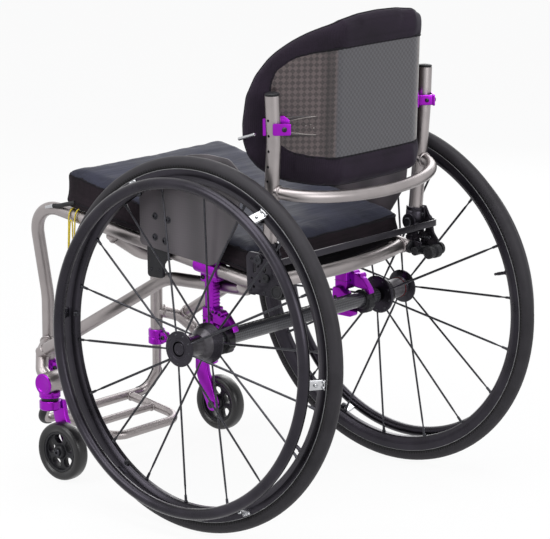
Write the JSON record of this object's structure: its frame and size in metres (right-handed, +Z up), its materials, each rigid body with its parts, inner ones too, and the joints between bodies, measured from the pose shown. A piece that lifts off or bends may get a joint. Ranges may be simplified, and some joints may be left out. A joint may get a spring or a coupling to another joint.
{
  "type": "rigid wheelchair",
  "caption": "Rigid titanium wheelchair with cambered spoked wheels and handrims, swivel castors, tube footrest, seat cushion, side guards and a folding curved backrest.",
  "frame": {"origin": "on the floor, under the middle of the chair's bounding box", "axes": "+Z up, -Y the way the sitter faces, +X to the sitter's left"},
  "size_m": [0.6236, 0.7936, 0.833],
  "materials": {
    "titanium": "brushed titanium, warm grey",
    "purple": "purple anodised",
    "black_metal": "black anodised",
    "steel": "machined steel",
    "carbon": "smooth carbon tube",
    "black_plastic": "moulded black plastic",
    "tyre": "dark grey tread rubber",
    "guard": "dark grey woven panel",
    "shell": "woven composite shell",
    "pad_fabric": "dark knitted fabric",
    "sling": "black woven sling",
    "yellow_cord": "yellow braided cord"
  },
  "bodies": {
    "frame": {"axle_bracket_left": "purple", "axle_bracket_right": "purple", "axle_clamp_left": "purple", "axle_clamp_right": "purple", "axle_pin_left": "steel", "axle_pin_right": "steel", "back_plate_left": "black_metal", "back_plate_right": "black_metal", "barrel_cap_left": "purple", "barrel_cap_right": "purple", "camber_collar_left": "black_plastic", "camber_collar_right": "black_plastic", "camber_tube": "carbon", "cushion_valve": "black_plastic", "footrest_clamp_left": "purple", "footrest_clamp_right": "purple", "front_cross_tube": "titanium", "guard_mount_left": "black_plastic", "guard_mount_right": "black_plastic", "hinge_pin_left": "steel", "hinge_pin_right": "steel", "lower_frame_left": "titanium", "lower_frame_right": "titanium", "pull_cord": "yellow_cord", "rear_cross_tube": "titanium", "seat_cushion": "pad_fabric", "seat_rail_left": "titanium", "seat_rail_right": "titanium", "seat_sling": "sling", "side_guard_left": "guard", "side_guard_right": "guard", "stem_collar_left": "purple", "stem_collar_right": "purple"},
    "castor_fork_body_left": {"castor_fork_left": "purple", "castor_axle_left": "steel"},
    "castor_wheel_body_left": {"castor_wheel_left": "black_plastic", "castor_tyre_left": "tyre"},
    "rear_wheel_body_left": {"hub_left": "black_metal", "rim_left": "black_metal", "tyre_left": "tyre", "handrim_left": "black_metal"},
    "axle_button_body_left": {"axle_button_left": "black_metal"},
    "castor_fork_body_right": {"castor_fork_right": "purple", "castor_axle_right": "steel"},
    "castor_wheel_body_right": {"castor_wheel_right": "black_plastic", "castor_tyre_right": "tyre"},
    "rear_wheel_body_right": {"hub_right": "black_metal", "rim_right": "black_metal", "tyre_right": "tyre", "handrim_right": "black_metal"},
    "axle_button_body_right": {"axle_button_right": "black_metal"},
    "footrest": {"footrest_frame": "titanium"},
    "backrest": {"back_frame": "titanium", "post_socket_left": "black_metal", "post_socket_right": "black_metal", "shell_bracket_left": "purple", "shell_bracket_right": "purple", "back_shell": "shell", "back_pad": "pad_fabric"},
    "release_lever": {"release_bar": "black_metal"}
  },
  "joints": [
    {"name": "rear_wheel_spin_left", "type": "hinge", "parent": "frame", "child": "rear_wheel_body_left", "pos_m": [0.24925, 0.09237, 0.3044], "axis": [0.9991, 0, 0.0419], "continuous": true},
    {"name": "axle_button_press_left", "type": "slide", "parent": "frame", "child": "axle_button_body_left", "axis": [-0.9991, 0, -0.0419], "range_m": [0, 0.003], "stiffness_N_per_m": 600, "springref_m": -0.002},
    {"name": "castor_swivel_left", "type": "hinge", "parent": "frame", "child": "castor_fork_body_left", "pos_m": [0.2013, -0.29413, 0.137], "axis": [0, 0, 1], "continuous": true},
    {"name": "castor_spin_left", "type": "hinge", "parent": "castor_fork_body_left", "child": "castor_wheel_body_left", "pos_m": [0.2013, -0.26562, 0.0508], "axis": [1, 0, 0], "continuous": true},
    {"name": "rear_wheel_spin_right", "type": "hinge", "parent": "frame", "child": "rear_wheel_body_right", "pos_m": [-0.24925, 0.09237, 0.3044], "axis": [-0.9991, 0, 0.0419], "continuous": true},
    {"name": "axle_button_press_right", "type": "slide", "parent": "frame", "child": "axle_button_body_right", "axis": [0.9991, 0, -0.0419], "range_m": [0, 0.003], "stiffness_N_per_m": 600, "springref_m": -0.002},
    {"name": "castor_swivel_right", "type": "hinge", "parent": "frame", "child": "castor_fork_body_right", "pos_m": [-0.2013, -0.29413, 0.137], "axis": [0, 0, 1], "continuous": true},
    {"name": "castor_spin_right", "type": "hinge", "parent": "castor_fork_body_right", "child": "castor_wheel_body_right", "pos_m": [-0.2013, -0.26562, 0.0508], "axis": [1, 0, 0], "continuous": true},
    {"name": "footrest_height", "type": "slide", "parent": "frame", "child": "footrest", "axis": [0, 0.0164, 0.9999], "range_m": [-0.02, 0.04]},
    {"name": "backrest_fold", "type": "hinge", "parent": "frame", "child": "backrest", "pos_m": [0, 0.19637, 0.452], "axis": [1, 0, 0], "range_deg": [0, 62]},
    {"name": "release_lift", "type": "hinge", "parent": "backrest", "child": "release_lever", "pos_m": [0, 0.19637, 0.452], "axis": [1, 0, 0], "range_deg": [0, 15], "stiffness_Nm_per_rad": 0.6, "springref_deg": -20.05}
  ]
}
